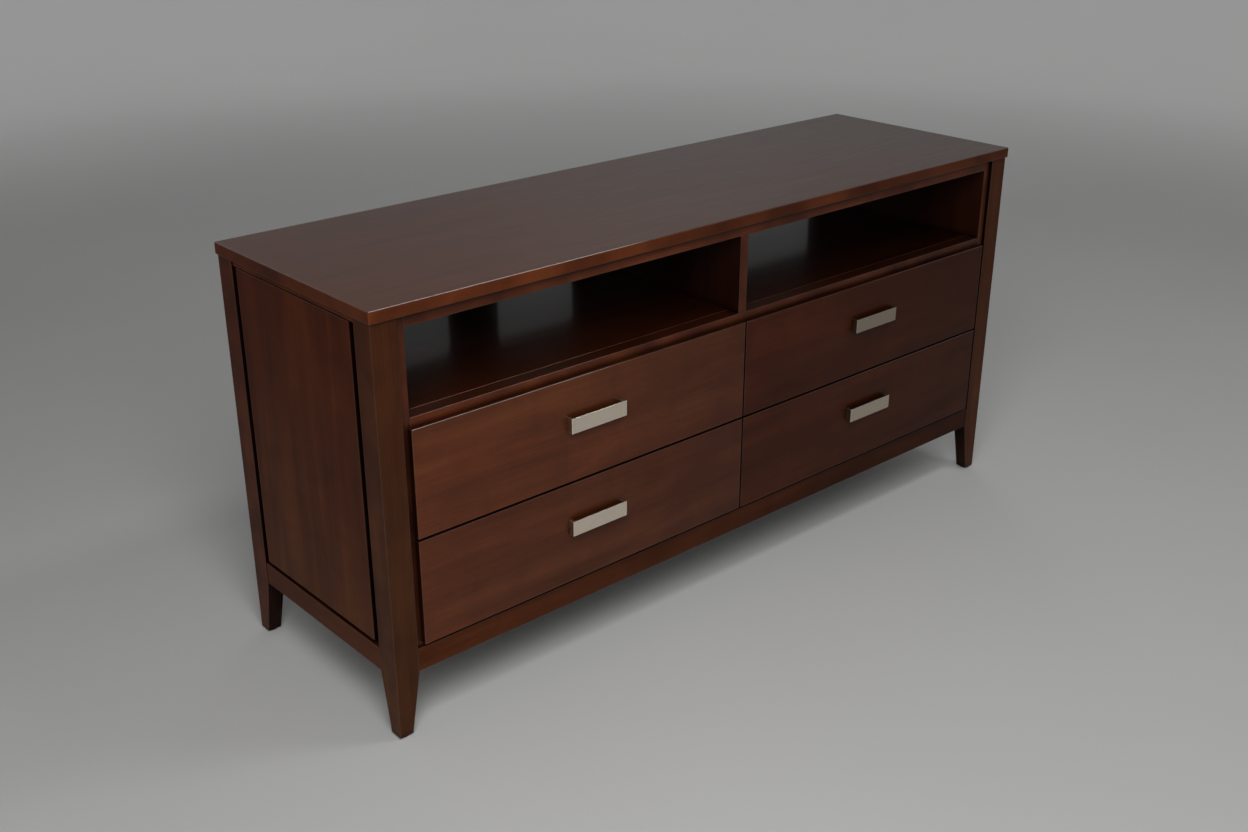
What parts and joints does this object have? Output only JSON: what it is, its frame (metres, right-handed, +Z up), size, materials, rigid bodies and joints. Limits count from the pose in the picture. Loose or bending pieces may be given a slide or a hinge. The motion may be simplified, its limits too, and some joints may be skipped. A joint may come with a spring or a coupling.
{
  "type": "dresser",
  "caption": "Low wide dresser in dark stained wood, with open compartments under the top, lipped drawers with flat bar pulls on ball-bearing slides, framed side panels and tapered legs.",
  "frame": {"origin": "on the floor, at the centre of the whole box, pulls included", "axes": "+X to the right along the width, -Y out of the front where the drawers open, +Z up"},
  "size_m": [1.524, 0.471, 0.72],
  "materials": {
    "espresso_wood": "dark reddish-brown stain with fine open grain under a satin clear coat",
    "inside_wood": "very dark brown stain, matte, no clear coat",
    "drawer_wood": "light wood, thin clear sealer",
    "satin_nickel": "satin nickel, fine brushing along the bar",
    "zinc_steel": "bright zinc plate with a thin film of grease",
    "nylon": "black moulded nylon"
  },
  "bodies": {
    "case": {"top_board": "espresso_wood", "front_top_rail": "espresso_wood", "back_top_rail": "inside_wood", "front_bottom_rail": "espresso_wood", "back_bottom_rail": "espresso_wood", "shelf_nosing": "espresso_wood", "shelf_board": "espresso_wood", "bottom_board": "inside_wood", "upper_divider": "espresso_wood", "lower_divider": "inside_wood", "upper_back_panel": "inside_wood", "lower_back_panel": "inside_wood", "case_slides": "zinc_steel", "floor_glides": "nylon", "left_front_leg": "espresso_wood", "left_back_leg": "espresso_wood", "left_side_panel": "espresso_wood", "left_side_top_rail": "espresso_wood", "left_side_bottom_rail": "espresso_wood", "left_case_side": "espresso_wood", "left_middle_rail": "inside_wood", "right_front_leg": "espresso_wood", "right_back_leg": "espresso_wood", "right_side_panel": "espresso_wood", "right_side_top_rail": "espresso_wood", "right_side_bottom_rail": "espresso_wood", "right_case_side": "espresso_wood", "right_middle_rail": "inside_wood"},
    "upper_left_drawer": {"upper_left_front": "espresso_wood", "upper_left_side_outer": "drawer_wood", "upper_left_side_inner": "drawer_wood", "upper_left_back": "drawer_wood", "upper_left_bottom": "drawer_wood", "upper_left_pull": "satin_nickel", "upper_left_drawer_slides": "zinc_steel"},
    "upper_left_slides": {"upper_left_middle_slides": "zinc_steel"},
    "upper_right_drawer": {"upper_right_front": "espresso_wood", "upper_right_side_outer": "drawer_wood", "upper_right_side_inner": "drawer_wood", "upper_right_back": "drawer_wood", "upper_right_bottom": "drawer_wood", "upper_right_pull": "satin_nickel", "upper_right_drawer_slides": "zinc_steel"},
    "upper_right_slides": {"upper_right_middle_slides": "zinc_steel"},
    "lower_left_drawer": {"lower_left_front": "espresso_wood", "lower_left_side_outer": "drawer_wood", "lower_left_side_inner": "drawer_wood", "lower_left_back": "drawer_wood", "lower_left_bottom": "drawer_wood", "lower_left_pull": "satin_nickel", "lower_left_drawer_slides": "zinc_steel"},
    "lower_left_slides": {"lower_left_middle_slides": "zinc_steel"},
    "lower_right_drawer": {"lower_right_front": "espresso_wood", "lower_right_side_outer": "drawer_wood", "lower_right_side_inner": "drawer_wood", "lower_right_back": "drawer_wood", "lower_right_bottom": "drawer_wood", "lower_right_pull": "satin_nickel", "lower_right_drawer_slides": "zinc_steel"},
    "lower_right_slides": {"lower_right_middle_slides": "zinc_steel"}
  },
  "joints": [
    {"name": "upper_left_drawer_slide", "type": "slide", "parent": "case", "child": "upper_left_drawer", "axis": [0, -1, 0], "range_m": [0, 0.36]},
    {"name": "upper_left_middle_slide", "type": "slide", "parent": "case", "child": "upper_left_slides", "axis": [0, -1, 0], "range_m": [0, 0.18]},
    {"name": "upper_right_drawer_slide", "type": "slide", "parent": "case", "child": "upper_right_drawer", "axis": [0, -1, 0], "range_m": [0, 0.36]},
    {"name": "upper_right_middle_slide", "type": "slide", "parent": "case", "child": "upper_right_slides", "axis": [0, -1, 0], "range_m": [0, 0.18]},
    {"name": "lower_left_drawer_slide", "type": "slide", "parent": "case", "child": "lower_left_drawer", "axis": [0, -1, 0], "range_m": [0, 0.36]},
    {"name": "lower_left_middle_slide", "type": "slide", "parent": "case", "child": "lower_left_slides", "axis": [0, -1, 0], "range_m": [0, 0.18]},
    {"name": "lower_right_drawer_slide", "type": "slide", "parent": "case", "child": "lower_right_drawer", "axis": [0, -1, 0], "range_m": [0, 0.36]},
    {"name": "lower_right_middle_slide", "type": "slide", "parent": "case", "child": "lower_right_slides", "axis": [0, -1, 0], "range_m": [0, 0.18]}
  ],
  "couplings": [
    {"joint": "upper_left_middle_slide", "follows": "upper_left_drawer_slide", "ratio": 0.5},
    {"joint": "upper_right_middle_slide", "follows": "upper_right_drawer_slide", "ratio": 0.5},
    {"joint": "lower_left_middle_slide", "follows": "lower_left_drawer_slide", "ratio": 0.5},
    {"joint": "lower_right_middle_slide", "follows": "lower_right_drawer_slide", "ratio": 0.5}
  ]
}
